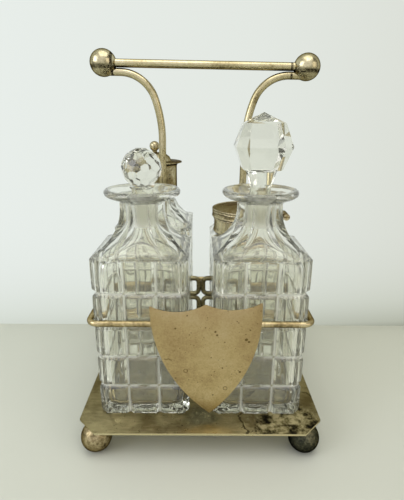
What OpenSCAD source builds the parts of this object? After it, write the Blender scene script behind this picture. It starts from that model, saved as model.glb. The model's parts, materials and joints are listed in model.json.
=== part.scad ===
// Four-bottle decanter stand: a clipped tray on ball feet, a twin-stem carrying
// handle, wire rails round each row, and four block-cut glass vessels.
// Millimetres. The stand rests on Z = 0, the shield faces -Y, the handle bar runs along X.

/* [Tray] */
// Width of the tray, left to right
tray_w = 212; // [206:1:230]
// Depth of the tray, front to back
tray_d = 222; // [214:1:240]
// Thickness of the tray's sheet
tray_t = 2.2; // [1.6:0.1:3]
// Length cut off each tray corner, along both edges
tray_clip = 17; // [8:1:22]

/* [Feet] */
// Diameter of a ball foot
foot_d = 27; // [20:0.5:32]
// Distance of a foot's centre in from both tray edges
foot_inset = 14.5; // [12:0.5:20]
// Diameter of the flat that each ball stands and is soldered on
foot_flat_d = 6; // [4:0.5:9]

/* [Vessels] */
// Width of a block-cut glass body over its blocks
body_w = 79; // [72:0.5:79.4]
// Height of a body up to the edge of its shoulder
body_h = 145; // [130:1:155]
// Distance between two neighbouring vessels' centres
vessel_pitch = 98.6; // [98:0.2:100]
// Thickness of the glass behind the cut blocks
glass_wall = 5; // [4.5:0.5:9]
// Thickness of the glass under the hollow
glass_base = 8; // [6:1:16]
// Cut blocks across one face
blocks_across = 3; // [2:1:4]
// Cut blocks up one face
blocks_up = 5; // [3:1:7]
// Depth of the mitre cuts between the blocks
groove_depth = 2.4; // [1:0.2:3]
// Width of the flat cut down each corner
corner_flat = 7.5; // [5:0.5:15]
// Lift at which a vessel stands clear above the rails
lift = 110; // [100:1:115]

/* [Decanter necks] */
// Width of a neck across its flutes
neck_w = 36.4; // [32:0.2:40]
// Height of the lip's rim above the tray
lip_h = 196; // [192:1:204]
// Height above a vessel's base at which the flutes reach the neck
flute_top = 180; // [168:1:180]
// Diameter of the spread lip
lip_d = 63.6; // [54:0.2:70]
// Thickness of the lip at its rim
lip_t = 4.6; // [3:0.2:5]
// Diameter of the ground bore at its mouth
bore_d = 18.4; // [16:0.2:21]
// Length of the ground plug inside the bore
plug_l = 25; // [15:1:27]
// Narrowing of bore and plug, on the radius, over the plug's length
plug_taper = 0.8; // [0.4:0.1:1.4]

/* [Stoppers] */
// Width of the large stopper's faceted head
big_head_w = 46.8; // [40:0.2:52]
// Height of the large head, from its stem to its point
big_head_h = 49; // [40:1:54]
// Length of the large stopper's bare stem above the lip
big_stem_l = 16; // [8:1:20]
// Diameter of the small stopper's faceted ball
small_head_d = 33; // [28:1:40]

/* [Caster] */
// Outer diameter of the caster cap's sleeve
cap_d = 46; // [42:0.5:52]
// Diameter of the flared rim round the cap
cap_rim_d = 56.8; // [50:0.5:62]
// Height of the cap's rim above the tray
cap_h = 207; // [200:1:214]
// Height of the cap's dome above its rim
cap_dome_h = 9; // [6:0.5:12]
// Diameter of the ball on top of the cap
cap_ball_d = 10.2; // [7:0.2:14]
// Thickness of the cap's sheet
cap_t = 1.2; // [0.8:0.1:1.8]

/* [Jar] */
// Height of the jar's glass body
jar_h = 133; // [120:1:140]
// Diameter of the jar's metal collar
collar_d = 70; // [62:0.5:72]
// Height of the metal collar
collar_h = 17; // [12:0.5:22]
// Diameter of the jar's lid
lid_d = 75; // [66:0.5:77]
// Height of the lid's dome
lid_dome_h = 7; // [4:0.5:12]
// Thickness of the collar's and the lid's sheet
jar_sheet_t = 1.4; // [1:0.1:2]
// Outer diameter of the hinge's knuckles
knuckle_d = 7.2; // [5:0.2:8]
// Distance from the lid's rim to the hinge's knuckles
hinge_reach = 2; // [1:0.2:4]
// Length of the whole hinge
hinge_l = 19; // [12:0.5:26]
// Diameter of the hinge pin
hinge_pin_d = 2.4; // [1.8:0.1:3]

/* [Handle] */
// Distance between the two uprights' centres
stem_spread = 76; // [70:1:84]
// Diameter of an upright's tube
stem_d = 6.6; // [5:0.2:8]
// Height above the tray at which the uprights start to curve outward
bend_h = 232; // [220:1:240]
// Radius of the long first bend
sweep_r = 105; // [80:1:130]
// Angle turned by the long first bend
sweep_angle = 20; // [12:1:26]
// Radius of the tighter second bend
elbow_r = 32; // [26:1:38]
// Diameter of the handle bar
bar_d = 7.1; // [6:0.1:9]
// Distance between the two end balls' centres
ball_spread = 178; // [172:1:186]
// Diameter of an end ball
ball_d = 23; // [18:0.5:26]
// How far the handle leans to the right above the divider, in degrees
handle_lean = 0.8; // [-1.5:0.1:1.5]
// Diameter of the threaded end below the tray
stud_d = 4; // [3:0.5:5]
// Width of a nut across its flats
nut_w = 8; // [7:0.5:10]
// Thickness of a nut
nut_t = 3.2; // [2:0.2:5]

/* [Rails and divider] */
// Diameter of the rail wire
rail_d = 5.2; // [4:0.2:6]
// Height of the front row's rail above the tray
front_rail_h = 92.5; // [80:0.5:100]
// Height of the back row's rail above the tray
back_rail_h = 57.5; // [45:0.5:70]
// Outer radius of a rail's corners
rail_corner_r = 11; // [8:0.5:16]
// Diameter of the divider's bars
fret_d = 4.7; // [3.6:0.1:5.6]
// Height of one divider loop, over its bars
loop_h = 21.6; // [16:0.2:26]
// Height above the tray of the line where upper and lower loops meet
fret_mid_h = 76.3; // [70:0.1:84]

/* [Shield] */
// Width of the shield across its top
shield_w = 90; // [70:1:100]
// Height of the shield, from its top corners to its point
shield_h = 103; // [80:1:110]
// Thickness of the shield's plate
shield_t = 1.5; // [1:0.1:2.5]
// Depth of the two scoops in the shield's top edge
shield_scoop = 5.5; // [3:0.1:8]
// Height of the shield's point above the tray
shield_point_h = 8.4; // [4:0.2:20]
// How far the shield sits to the right of the middle
shield_shift = 8; // [-10:0.5:10]
// How far the shield leans out of the upright, in degrees
shield_lean = 2.2; // [-3:0.1:3]

/* [Clearances] */
// Gap under each vessel, and between pieces that lift off each other
seat_gap = 0.3; // [0.2:0.05:0.5]
// Radial gap of fitted and soldered tubes
solder_gap = 0.05; // [0.02:0.01:0.1]
// Radial gap round the ground plugs
plug_gap = 0.15; // [0.1:0.05:0.3]

/* [Hidden] */

$fn = 96;
// Overrun that carries a cut cleanly through a face
eps = 0.5;

// Tray and feet
foot_cut = foot_d / 2 - sqrt(pow(foot_d / 2, 2) - pow(foot_flat_d / 2, 2));
tray_bottom = foot_d - 2 * foot_cut;
tray_top = tray_bottom + tray_t;

// Vessels
v = vessel_pitch / 2;
half = body_w / 2;
body_z = tray_top + seat_gap;
diagonal_half = half * sqrt(2) - corner_flat / 2;
flute_run = flute_top - body_h;
hollow_half = half - glass_wall;
hollow_corner_r = 10;
hollow_top = body_h - 17;
hollow_end = body_h + 17;
bore_r = bore_d / 2;
lip_dish = 6;
bore_top = lip_h - lip_dish;
bore_bottom = bore_top - plug_l - 2;
bore_slope = plug_taper / plug_l;
lip_base = lip_h - 11;
round_neck_z = lip_h - 14;

// Caster
cap_r = cap_d / 2;
cap_in_r = cap_r - cap_t;
sleeve_l = 28;
cap_rim_t = 1.6;
caster_neck_h = cap_h - 9;
caster_collar_r = cap_in_r - seat_gap;
caster_collar_l = sleeve_l - 11;
caster_neck_r = neck_w / 2;
caster_round_z = caster_neck_h - caster_collar_l - 1;
caster_bore_r = 13;
cap_dome_r = cap_r + 1;
dome_sphere_r = (pow(cap_dome_r, 2) + pow(cap_dome_h, 2)) / (2 * cap_dome_h);
cap_ball_z = cap_h + cap_rim_t + cap_dome_h + cap_ball_d / 2 + 1;

// Jar
collar_r = collar_d / 2;
jar_neck_r = collar_r - jar_sheet_t - solder_gap;
jar_shoulder_r = 6;
jar_mouth_wall = 4.5;
jar_rim_h = jar_h + collar_h - jar_sheet_t - 1;
collar_top = jar_h + solder_gap + collar_h;
lid_z = collar_top + seat_gap;
lid_r = lid_d / 2;
lid_sphere_r = (pow(lid_r - 2, 2) + pow(lid_dome_h, 2)) / (2 * lid_dome_h);
lid_rim_t = 2.4;
hinge_x = lid_r + hinge_reach + knuckle_d / 2;
hinge_z = collar_top + seat_gap / 2;
knuckle_gap = 0.3;
knuckle_l = (hinge_l - 2 * knuckle_gap) / 3;
pin_gap = 0.05;
leaf_end = hinge_x - knuckle_d / 4;
leaf_w = knuckle_l - 0.6;
leaf_t = knuckle_d / 2 - 1;

// Handle
stem_x = stem_spread / 2;
ball_x = ball_spread / 2;
ball_r = ball_d / 2;
sweep_steps = 8;
elbow_steps = 14;
solder_seam = 0.3;
elbow_x = stem_x + sweep_r * (1 - cos(sweep_angle));
elbow_z = bend_h + sweep_r * sin(sweep_angle);
arm_x = elbow_x + elbow_r * cos(sweep_angle);
arm_z = elbow_z + elbow_r * (1 - sin(sweep_angle));
bar_z = arm_z + stem_d / 2 + bar_d / 2 + solder_seam;
socket_depth = 6.5;
socket_x = ball_x - ball_r + socket_depth;
lean_z = fret_mid_h + loop_h + 2;

// Rails, divider and shield
rail_r = rail_d / 2;
rail_clear = 0.4;
rail_x = v + half + rail_clear + rail_r;
rail_bend_r = rail_corner_r - rail_r;
fret_r = fret_d / 2;
fret_weld = 0.2;
fret_bend_r = fret_r + 0.3;
fret_out_x = stem_x - stem_d / 2 - solder_gap - fret_r;
shield_y = -(rail_x + rail_r + solder_gap);

// Tray and feet

module tray_outline() {
    w = tray_w / 2;
    d = tray_d / 2;
    c = tray_clip;
    polygon([
        [-w, -d + c], [-w + c, -d], [w - c, -d], [w, -d + c],
        [w, d - c], [w - c, d], [-w + c, d], [-w, d - c]
    ]);
}

module base_plate() {
    color("darkkhaki")
    translate([0, 0, tray_bottom])
    difference() {
        linear_extrude(tray_t) tray_outline();
        for (side = [-1, 1])
            translate([side * stem_x, 0, -eps]) cylinder(d = stud_d + 2 * solder_gap, h = tray_t + 2 * eps);
    }
}

module foot(side_x, side_y) {
    x = side_x * (tray_w / 2 - foot_inset);
    y = side_y * (tray_d / 2 - foot_inset);
    color("tan")
    translate([x, y, foot_d / 2 - foot_cut])
    rotate_extrude()
    intersection() {
        circle(d = foot_d);
        translate([0, -foot_d / 2 + foot_cut]) square([foot_d, foot_d - 2 * foot_cut]);
    }
}

module foot_front_left() { foot(-1, -1); }
module foot_front_right() { foot(1, -1); }
module foot_back_left() { foot(-1, 1); }
module foot_back_right() { foot(1, 1); }

// Handle

module xz_bend(r, wire_r, from, to) {
    rotate([90, 0, 0])
    rotate([0, 0, from])
    rotate_extrude(angle = to - from)
    translate([r, 0]) circle(r = wire_r);
}

// Stations [x, z, angle] along an upright: straight, a long sweep, an elbow, then level into the ball
function stem_path() = concat(
    [[stem_x, lean_z, 0]],
    [for (i = [0:sweep_steps])
        let (a = sweep_angle * i / sweep_steps)
        [stem_x + sweep_r * (1 - cos(a)), bend_h + sweep_r * sin(a), a]],
    [for (i = [1:elbow_steps])
        let (a = sweep_angle + (90 - sweep_angle) * i / elbow_steps)
        [arm_x - elbow_r * cos(a), arm_z - elbow_r * (1 - sin(a)), a]],
    [[socket_x, arm_z, 90]]
);

// A station turned with the handle about the top of the divider
function leaned(p, lean) = [
    p[0] * cos(lean) + (p[1] - lean_z) * sin(lean),
    lean_z + (p[1] - lean_z) * cos(lean) - p[0] * sin(lean),
    p[2] + lean
];

module swept_tube(path, r, sides) {
    rings = len(path);
    points = [for (p = path, k = [0:sides - 1])
        let (t = 360 * k / sides)
        [p[0] + r * cos(t) * cos(p[2]), r * sin(t), p[1] - r * cos(t) * sin(p[2])]];
    walls = [for (i = [0:rings - 2], k = [0:sides - 1])
        let (a = i * sides + k, b = i * sides + (k + 1) % sides)
        [a, a + sides, b + sides, b]];
    caps = [[for (k = [0:sides - 1]) k], [for (k = [sides - 1:-1:0]) (rings - 1) * sides + k]];
    polyhedron(points, concat(walls, caps));
}

module upright(lean) {
    path = concat([[stem_x, 0, 0]], [for (p = stem_path()) leaned(p, lean)]);
    translate([0, 0, tray_top])
    union() {
        swept_tube(path, stem_d / 2, 24);
        translate([stem_x, 0, -tray_t - nut_t - 1]) cylinder(d = stud_d, h = tray_t + nut_t + 1 + eps);
    }
}

module upright_right() { color("darkkhaki") upright(handle_lean); }
module upright_left() { color("darkkhaki") mirror([1, 0, 0]) upright(-handle_lean); }

module with_lean() {
    translate([0, 0, tray_top + lean_z]) rotate([0, handle_lean, 0]) translate([0, 0, -tray_top - lean_z]) children();
}

module upright_nuts() {
    color("goldenrod")
    for (side = [-1, 1])
        translate([side * stem_x, 0, tray_bottom - nut_t])
        difference() {
            cylinder(d = nut_w / cos(30), h = nut_t, $fn = 6);
            translate([0, 0, -eps]) cylinder(d = stud_d + 2 * solder_gap, h = nut_t + 2 * eps);
        }
}

module handle_bar() {
    color("darkkhaki")
    with_lean() translate([-socket_x, 0, tray_top + bar_z]) rotate([0, 90, 0]) cylinder(d = bar_d, h = 2 * socket_x);
}

module handle_ball() {
    bar_socket_r = bar_d / 2 + solder_gap;
    translate([ball_x, 0, tray_top + bar_z])
    difference() {
        rotate([0, 90, 0])
        rotate_extrude()
        difference() {
            intersection() {
                circle(d = ball_d);
                translate([0, -ball_d / 2]) square([ball_d, ball_d]);
            }
            translate([-eps, -ball_d]) square([bar_socket_r + eps, ball_d + socket_x - ball_x]);
        }
        translate([socket_x - ball_x - ball_d, 0, arm_z - bar_z]) rotate([0, 90, 0])
            cylinder(d = stem_d + 2 * solder_gap, h = ball_d);
    }
}

module handle_ball_right() { color("khaki") with_lean() handle_ball(); }
module handle_ball_left() { color("khaki") with_lean() mirror([1, 0, 0]) handle_ball(); }

// Rails, divider and shield

module xy_bend(r, wire_r, from) {
    rotate([0, 0, from])
    rotate_extrude(angle = 90)
    translate([r, 0]) circle(r = wire_r);
}

module rail_half() {
    inner = rail_x - rail_bend_r;
    back_y = -rail_r - 0.4;
    back_in = back_y - rail_bend_r;
    translate([0, -rail_x, 0]) rotate([0, 90, 0]) cylinder(r = rail_r, h = inner);
    translate([inner, -inner, 0]) xy_bend(rail_bend_r, rail_r, -90);
    translate([rail_x, -inner, 0]) rotate([-90, 0, 0]) cylinder(r = rail_r, h = inner + back_in);
    translate([inner, back_in, 0]) xy_bend(rail_bend_r, rail_r, 0);
    translate([stem_x, back_y, 0]) rotate([0, 90, 0]) cylinder(r = rail_r, h = inner - stem_x);
}

module rail() {
    difference() {
        union() {
            rail_half();
            mirror([1, 0, 0]) rail_half();
        }
        for (side = [-1, 1])
            translate([side * stem_x, 0, -rail_d]) cylinder(r = stem_d / 2 + solder_gap, h = 2 * rail_d);
    }
}

module front_rail() { color("darkkhaki") translate([0, 0, tray_top + front_rail_h]) rail(); }
module back_rail() { color("darkkhaki") translate([0, 0, tray_top + back_rail_h]) mirror([0, 1, 0]) rail(); }

module fret_loop(x0, x1, z0, z1) {
    r = fret_bend_r;
    for (z = [z0, z1])
        translate([x0 + r, 0, z]) rotate([0, 90, 0]) cylinder(r = fret_r, h = x1 - x0 - 2 * r);
    for (x = [x0, x1])
        translate([x, 0, z0 + r]) cylinder(r = fret_r, h = z1 - z0 - 2 * r);
    translate([x1 - r, 0, z1 - r]) xz_bend(r, fret_r, 0, 90);
    translate([x0 + r, 0, z1 - r]) xz_bend(r, fret_r, 90, 180);
    translate([x0 + r, 0, z0 + r]) xz_bend(r, fret_r, 180, 270);
    translate([x1 - r, 0, z0 + r]) xz_bend(r, fret_r, 270, 360);
}

module row_divider() {
    near = fret_r - fret_weld / 2;
    color("olive")
    translate([0, 0, tray_top + fret_mid_h])
    for (side = [0, 1])
        mirror([side, 0, 0])
        union() {
            fret_loop(near, fret_out_x, near, loop_h - fret_r);
            fret_loop(near, fret_out_x, fret_r - loop_h, -near);
        }
}

module shield_outline() {
    w = shield_w / 2;
    flank_h = shield_h * 0.93;
    flank_r = (w * w + flank_h * flank_h) / (2 * w);
    tip = 0.8;
    scoop_half = w / 2 - tip;
    scoop_r = (pow(scoop_half, 2) + pow(shield_scoop, 2)) / (2 * shield_scoop);
    difference() {
        union() {
            translate([-w, flank_h]) square([2 * w, shield_h - flank_h]);
            intersection() {
                translate([-w, 0]) square([2 * w, flank_h]);
                translate([w - flank_r, flank_h]) circle(r = flank_r);
                translate([flank_r - w, flank_h]) circle(r = flank_r);
            }
        }
        for (side = [-1, 1])
            translate([side * w / 2, shield_h + scoop_r - shield_scoop]) circle(r = scoop_r);
    }
}

module shield() {
    color("burlywood")
    translate([shield_shift, shield_y, tray_top + shield_point_h])
    rotate([0, -shield_lean, 0])
    rotate([90, 0, 0])
    linear_extrude(shield_t) shield_outline();
}

// Block-cut glass

module body_outline() {
    intersection() {
        square(body_w, center = true);
        rotate(45) square(2 * diagonal_half, center = true);
    }
}

module mitre_cut(length) {
    rotate([0, 90, 0])
    linear_extrude(length, center = true)
    polygon([[0, groove_depth], [-groove_depth - eps, -eps], [groove_depth + eps, -eps]]);
}

module block_cuts(height) {
    row = height / blocks_up;
    column = body_w / blocks_across;
    for (turn = [0:3])
        rotate([0, 0, 90 * turn])
        translate([0, -half, 0]) {
            for (i = [1:blocks_up - 1]) translate([0, 0, i * row]) mitre_cut(body_w + 2 * eps);
            for (i = [1:blocks_across - 1])
                translate([i * column - half, 0, height / 2]) rotate([0, 90, 0]) mitre_cut(height + 2 * eps);
        }
    for (turn = [0:3])
        rotate([0, 0, 45 + 90 * turn])
        translate([0, -diagonal_half, 0])
            for (i = [1:blocks_up - 1]) translate([0, 0, i * row]) mitre_cut(corner_flat + 8);
}

// Side view of a pair of flutes, hollowed from the neck out to a shoulder that lies far out
module cove_side(far, top) {
    reach = 3 * half;
    across = far - neck_w / 2;
    r = (across * across + flute_run * flute_run) / (2 * across);
    difference() {
        translate([-reach, 0]) square([2 * reach, top]);
        for (side = [0, 1])
            mirror([side, 0]) {
                translate([neck_w / 2 + r, flute_top]) circle(r = r);
                translate([neck_w / 2 + r, flute_top - r]) square([reach, top]);
                translate([neck_w / 2, flute_top]) square([reach, top]);
            }
    }
}

module fluted_glass(top) {
    intersection() {
        linear_extrude(top) body_outline();
        intersection_for(turn = [0, 90])
            rotate([90, 0, turn]) linear_extrude(4 * half, center = true) cove_side(half, top);
        intersection_for(turn = [45, 135])
            rotate([90, 0, turn]) linear_extrude(4 * half, center = true) cove_side(diagonal_half + 1, top);
    }
}

module hollow(neck_r) {
    rounded = hollow_half - hollow_corner_r;
    translate([0, 0, glass_base])
    linear_extrude(hollow_top - glass_base)
    union() {
        square([2 * hollow_half, 2 * rounded], center = true);
        square([2 * rounded, 2 * hollow_half], center = true);
        for (x = [-1, 1], y = [-1, 1]) translate([x * rounded, y * rounded]) circle(r = hollow_corner_r);
    }
    translate([0, 0, hollow_top]) cylinder(r1 = hollow_half, r2 = neck_r, h = hollow_end - hollow_top);
}

module lip_section() {
    r = neck_w / 2 + 0.4;
    flare = lip_d / 2 - r;
    drop = lip_h - lip_t - lip_base;
    difference() {
        polygon([
            [0, round_neck_z], [r, round_neck_z], [r, lip_base], [lip_d / 2, lip_base], [lip_d / 2, lip_h - 0.8],
            [lip_d / 2 - 0.8, lip_h], [lip_d / 2 - 3, lip_h], [bore_r + 3, bore_top + 1], [bore_r, bore_top], [0, bore_top]
        ]);
        translate([r + flare, lip_base]) scale([flare, drop]) circle(r = 1);
    }
}

module decanter() {
    difference() {
        union() {
            fluted_glass(lip_base);
            rotate_extrude() lip_section();
        }
        block_cuts(body_h);
        hollow(bore_r - plug_taper);
        translate([0, 0, hollow_end - eps]) cylinder(r = bore_r - plug_taper, h = bore_bottom - hollow_end + 2 * eps);
        translate([0, 0, bore_bottom])
            cylinder(r1 = bore_r - bore_slope * (plug_l + 2), r2 = bore_r + bore_slope * eps, h = plug_l + 2 + eps);
    }
}

module decanter_left() { color("lightcyan", 0.6) translate([-v, -v, body_z]) decanter(); }
module decanter_right() { color("lightcyan", 0.6) translate([v, -v, body_z]) decanter(); }

// Stoppers

module plug() {
    translate([0, 0, bore_top - plug_l])
        cylinder(r1 = bore_r - plug_taper - plug_gap, r2 = bore_r - plug_gap, h = plug_l);
}

// Keeps what lies inside a ring of flat cuts, each at the same distance and slope
module cut_ring(count, distance, slope, phase) {
    big = 3 * big_head_w;
    intersection_for(i = [0:count - 1])
        rotate([0, 0, phase + i * 360 / count])
        rotate([0, -slope, 0])
        translate([distance - big, -big / 2, -big / 2]) cube(big);
}

module big_head() {
    r = big_head_w / 2;
    intersection() {
        cut_ring(8, r * 0.95, 16, 22.5);
        cut_ring(8, r * 0.93, -22, 22.5);
        cut_ring(8, r * 0.94, 58, 0);
        translate([-r * 2, -r * 2, -r * 0.78]) cube([r * 4, r * 4, big_head_h]);
    }
}

module stopper_big() {
    r = big_head_w / 2;
    head_z = lip_h + big_stem_l + r * 0.78;
    plug();
    rotate_extrude()
        polygon([
            [0, bore_top], [bore_r - plug_gap, bore_top], [bore_r - 0.6, lip_h + 2],
            [bore_r + 3.4, lip_h + big_stem_l], [bore_r + 1, lip_h + big_stem_l + 2], [0, lip_h + big_stem_l + 2]
        ]);
    translate([0, 0, head_z]) big_head();
}

module stopper_small() {
    r = small_head_d / 2;
    plug();
    translate([0, 0, bore_top]) cylinder(r = bore_r - plug_gap, h = lip_h - bore_top + 4);
    translate([0, 0, lip_h + r])
    intersection() {
        cut_ring(8, r, 0, 22.5);
        cut_ring(8, r, 32, 0);
        cut_ring(8, r, -32, 0);
        cut_ring(8, r, 62, 22.5);
        translate([-r * 2, -r * 2, -r]) cube([r * 4, r * 4, 2 * r]);
    }
}

module stopper_left() { color("azure", 0.8) translate([-v, -v, body_z]) stopper_small(); }
module stopper_right() { color("azure", 0.8) translate([v, -v, body_z]) stopper_big(); }

// Caster

module caster_bottle() {
    color("lightcyan", 0.6)
    translate([-v, v, body_z])
    difference() {
        union() {
            fluted_glass(caster_round_z);
            translate([0, 0, caster_round_z - eps]) cylinder(r = caster_neck_r, h = caster_neck_h - caster_round_z + eps);
        }
        block_cuts(body_h);
        hollow(caster_bore_r);
        translate([0, 0, hollow_end - eps]) cylinder(r = caster_bore_r, h = caster_neck_h);
    }
}

module caster_collar() {
    color("darkkhaki")
    translate([-v, v, body_z + caster_neck_h - caster_collar_l])
    difference() {
        cylinder(r = caster_collar_r, h = caster_collar_l);
        translate([0, 0, -eps]) cylinder(r = caster_neck_r + solder_gap, h = caster_collar_l + 2 * eps);
    }
}

module caster_cap() {
    sphere_z = cap_rim_t + cap_dome_h - dome_sphere_r;
    color("khaki")
    translate([-v, v, body_z + cap_h])
    difference() {
        union() {
            translate([0, 0, -sleeve_l]) cylinder(r = cap_r, h = sleeve_l + cap_rim_t);
            cylinder(r = cap_rim_d / 2, h = cap_rim_t);
            intersection() {
                translate([0, 0, sphere_z]) sphere(r = dome_sphere_r);
                cylinder(r = cap_dome_r, h = 2 * cap_dome_h);
            }
        }
        translate([0, 0, -sleeve_l - eps]) cylinder(r = cap_in_r, h = sleeve_l + eps);
        intersection() {
            translate([0, 0, sphere_z]) sphere(r = dome_sphere_r - cap_t);
            translate([0, 0, -eps]) cylinder(r = cap_in_r, h = 2 * cap_dome_h);
        }
    }
}

module caster_finial() {
    color("khaki")
    translate([-v, v, body_z + cap_ball_z])
    union() {
        sphere(d = cap_ball_d, $fn = 48);
        translate([0, 0, -cap_ball_d / 2 - 1]) cylinder(d = cap_ball_d / 2, h = cap_ball_d / 2);
    }
}

// Jar

module jar_glass() {
    color("lightcyan", 0.6)
    translate([v, v, body_z])
    difference() {
        union() {
            intersection() {
                linear_extrude(jar_h) body_outline();
                intersection_for(side = [0, 90])
                    rotate([90, 0, side]) linear_extrude(4 * half, center = true)
                    polygon([[-half, 0], [half, 0], [half, jar_h - jar_shoulder_r], [half - jar_shoulder_r, jar_h],
                        [jar_shoulder_r - half, jar_h], [-half, jar_h - jar_shoulder_r]]);
            }
            cylinder(r = jar_neck_r, h = jar_rim_h);
        }
        block_cuts(jar_h);
        translate([0, 0, glass_base]) cylinder(r = jar_neck_r - jar_mouth_wall, h = jar_rim_h);
    }
}

module knuckle(length) {
    rotate([90, 0, 0]) cylinder(d = knuckle_d, h = length, center = true, $fn = 48);
}

module hinge_bore() {
    rotate([90, 0, 0]) cylinder(d = hinge_pin_d + 2 * pin_gap, h = hinge_l + 2 * eps, center = true, $fn = 48);
}

// Ties a pair of outer knuckles to the collar, below the lid's sweep
module collar_hinge() {
    leaf_x = collar_r - jar_sheet_t / 2;
    leaf_top = lid_z - seat_gap - hinge_z;
    difference() {
        for (side = [-1, 1])
            translate([0, side * (knuckle_l + knuckle_gap), 0])
            union() {
                translate([hinge_x, 0, 0]) knuckle(knuckle_l);
                translate([leaf_x, -leaf_w / 2, leaf_top - leaf_t])
                    cube([leaf_end - leaf_x, leaf_w, leaf_t]);
            }
        translate([hinge_x, 0, 0]) hinge_bore();
        translate([0, 0, -knuckle_d]) cylinder(r = collar_r - jar_sheet_t, h = 2 * knuckle_d);
    }
}

module jar_collar() {
    bead_r = 1.2;
    bead_in = bead_r + 0.4;
    color("darkkhaki")
    translate([v, v, body_z])
    union() {
        translate([0, 0, jar_h + solder_gap])
        rotate_extrude() {
            translate([collar_r - jar_sheet_t, 0]) square([jar_sheet_t, collar_h]);
            for (z = [bead_in, collar_h - bead_in])
                translate([collar_r - 0.2, z]) circle(r = bead_r, $fn = 32);
        }
        translate([0, 0, hinge_z]) collar_hinge();
    }
}

module lid_dome(r, reach) {
    intersection() {
        translate([0, 0, lid_rim_t + lid_dome_h - lid_sphere_r]) sphere(r = r);
        translate([0, 0, -eps]) cylinder(r = reach, h = lid_rim_t + lid_dome_h + 2 * eps);
    }
}

module jar_lid() {
    color("khaki")
    translate([v, v, body_z + lid_z])
    difference() {
        union() {
            cylinder(r = lid_r, h = lid_rim_t);
            difference() {
                lid_dome(lid_sphere_r, lid_r - 1);
                translate([0, 0, -lid_d]) cylinder(r = lid_d, h = lid_d);
            }
            translate([hinge_x, 0, hinge_z - lid_z]) knuckle(knuckle_l);
            translate([lid_r - 1, -leaf_w / 2, 0]) cube([leaf_end - lid_r + 1, leaf_w, lid_rim_t]);
        }
        lid_dome(lid_sphere_r - jar_sheet_t, lid_r - 4);
        translate([hinge_x, 0, hinge_z - lid_z]) hinge_bore();
    }
}

module jar_hinge_pin() {
    color("goldenrod")
    translate([v + hinge_x, v, body_z + hinge_z])
    rotate([90, 0, 0]) cylinder(d = hinge_pin_d, h = hinge_l, center = true, $fn = 48);
}

base_plate();
foot_front_left();
foot_front_right();
foot_back_left();
foot_back_right();
upright_left();
upright_right();
upright_nuts();
handle_bar();
handle_ball_left();
handle_ball_right();
front_rail();
back_rail();
row_divider();
shield();
decanter_left();
stopper_left();
decanter_right();
stopper_right();
caster_bottle();
caster_collar();
caster_cap();
caster_finial();
jar_glass();
jar_collar();
jar_lid();
jar_hinge_pin();
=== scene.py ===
# %% [markdown]
# # A four-bottle decanter stand
# The stand is worn silver plate over nickel brass, and the four vessels are block-cut glass.
# The CAD frame gives every piece its place and its size. Here each piece gets the shape of
# its surface: soft edges, pillowed glass blocks, solder, pits and tarnish.

# %% Load the frame
import json
from math import cos, pi, radians, sin, sqrt, tan
import bmesh
import bpy
import numpy as np
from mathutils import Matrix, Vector

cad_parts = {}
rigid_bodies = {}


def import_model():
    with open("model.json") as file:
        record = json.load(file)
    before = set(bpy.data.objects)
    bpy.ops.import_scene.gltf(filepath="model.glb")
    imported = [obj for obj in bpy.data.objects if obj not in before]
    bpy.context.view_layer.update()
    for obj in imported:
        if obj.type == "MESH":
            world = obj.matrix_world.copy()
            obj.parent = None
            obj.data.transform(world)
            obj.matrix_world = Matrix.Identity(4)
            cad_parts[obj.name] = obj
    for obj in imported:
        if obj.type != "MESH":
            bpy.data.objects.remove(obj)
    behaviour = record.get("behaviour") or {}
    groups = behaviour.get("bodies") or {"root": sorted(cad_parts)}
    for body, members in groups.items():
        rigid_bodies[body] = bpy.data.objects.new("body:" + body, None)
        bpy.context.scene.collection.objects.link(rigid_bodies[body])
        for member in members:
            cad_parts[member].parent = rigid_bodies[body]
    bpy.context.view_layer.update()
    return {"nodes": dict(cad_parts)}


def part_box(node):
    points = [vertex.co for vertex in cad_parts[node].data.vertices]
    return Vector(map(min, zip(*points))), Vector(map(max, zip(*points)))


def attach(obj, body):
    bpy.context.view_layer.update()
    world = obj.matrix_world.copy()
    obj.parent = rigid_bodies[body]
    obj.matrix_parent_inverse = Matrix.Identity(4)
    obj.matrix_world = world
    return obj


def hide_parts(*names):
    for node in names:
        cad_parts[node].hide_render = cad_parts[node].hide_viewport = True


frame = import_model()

MM = 0.001
nodes = frame["nodes"]
scene = bpy.context.scene
print("nodes in the frame:", len(nodes))


# %% [markdown]
# ## The camera
# The photograph was taken from about 38 cm away and a little above the handle, so near
# things look large. The camera looks down by 18 degrees through a lens of 28.8 mm.

# %% Camera
def in_scene(name, data):
    """A new object that shows the given mesh, camera or lamp."""
    thing = bpy.data.objects.new(name, data)
    scene.collection.objects.link(thing)
    return thing


look_down_deg = 18.12
roll_deg = -0.32
camera_data = bpy.data.cameras.new("camera")
camera_data.lens = 28.8
camera_data.sensor_width = 36
camera_data.sensor_fit = "AUTO"
camera_data.clip_start = 0.01
camera = in_scene("camera", camera_data)
camera.location = (0.0002, -0.3823, 0.2796)
camera.rotation_euler = (radians(90 - look_down_deg), radians(roll_deg), 0)
scene.camera = camera
print("camera height in mm:", round(camera.location.z / MM))


# %% [markdown]
# ## Helpers for node trees
# A material is a small tree of nodes. Building each tree by hand takes a line for every node,
# setting and link, so a few helpers do that. An input may be a plain value or another node's
# output, and the helper sets the one and links the other.

# %% Node helpers
def paint(code, alpha=1.0):
    """Turns a screen colour such as #A0B0C0 into the linear colour that Blender uses."""
    parts = [int(code[i:i + 2], 16) / 255 for i in (1, 3, 5)]
    linear = [c / 12.92 if c <= 0.04045 else ((c + 0.055) / 1.055) ** 2.4 for c in parts]
    return (*linear, alpha)


def grey(value):
    """A linear grey for a ramp that drives a number."""
    return (value, value, value, 1)


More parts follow.
